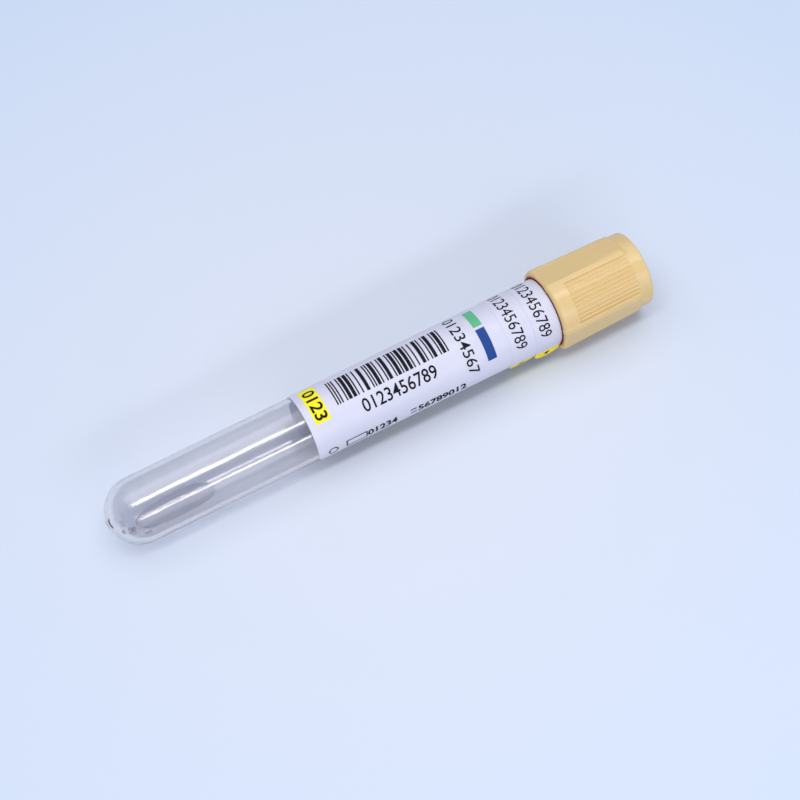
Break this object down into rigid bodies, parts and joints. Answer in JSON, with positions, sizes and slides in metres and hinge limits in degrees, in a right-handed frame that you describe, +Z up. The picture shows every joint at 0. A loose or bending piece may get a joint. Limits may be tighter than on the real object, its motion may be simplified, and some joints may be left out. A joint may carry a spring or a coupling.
{
  "type": "blood collection tube",
  "caption": "Clear round-bottomed plastic vacuum tube with a ribbed pull-off cap over a rubber stopper, a wrapped label and peel-off strips; it lies on its side.",
  "frame": {"origin": "on the table, under the middle of the lying tube", "axes": "+X along the tube towards its cap, +Z up; the tube's axis climbs towards the cap by 1.16 degrees"},
  "size_m": [0.1331, 0.0191, 0.0194],
  "materials": {
    "clear_plastic": "clear moulded PET plastic, polished",
    "cap_plastic": "satin moulded polypropylene, pale orange-yellow",
    "stopper_rubber": "matte brick-red butyl rubber",
    "label_film": "white satin self-adhesive film",
    "strip_film": "white satin self-adhesive film with a yellow tab",
    "additive": "clear watery liquid"
  },
  "bodies": {
    "tube_body": {"tube": "clear_plastic", "label": "label_film", "peel_strip_inner": "strip_film", "peel_strip_outer": "strip_film", "liquid": "additive"},
    "stopper_body": {"stopper": "stopper_rubber"},
    "cap_body": {"cap": "cap_plastic"}
  },
  "joints": [
    {"name": "closure_pull", "type": "slide", "parent": "tube_body", "child": "stopper_body", "axis": [0.9998, 0, 0.0202], "range_m": [0, 0.025]},
    {"name": "cap_twist", "type": "hinge", "parent": "stopper_body", "child": "cap_body", "pos_m": [0.04227, 0, 0.00964], "axis": [0.9998, 0, 0.0202], "continuous": true}
  ]
}
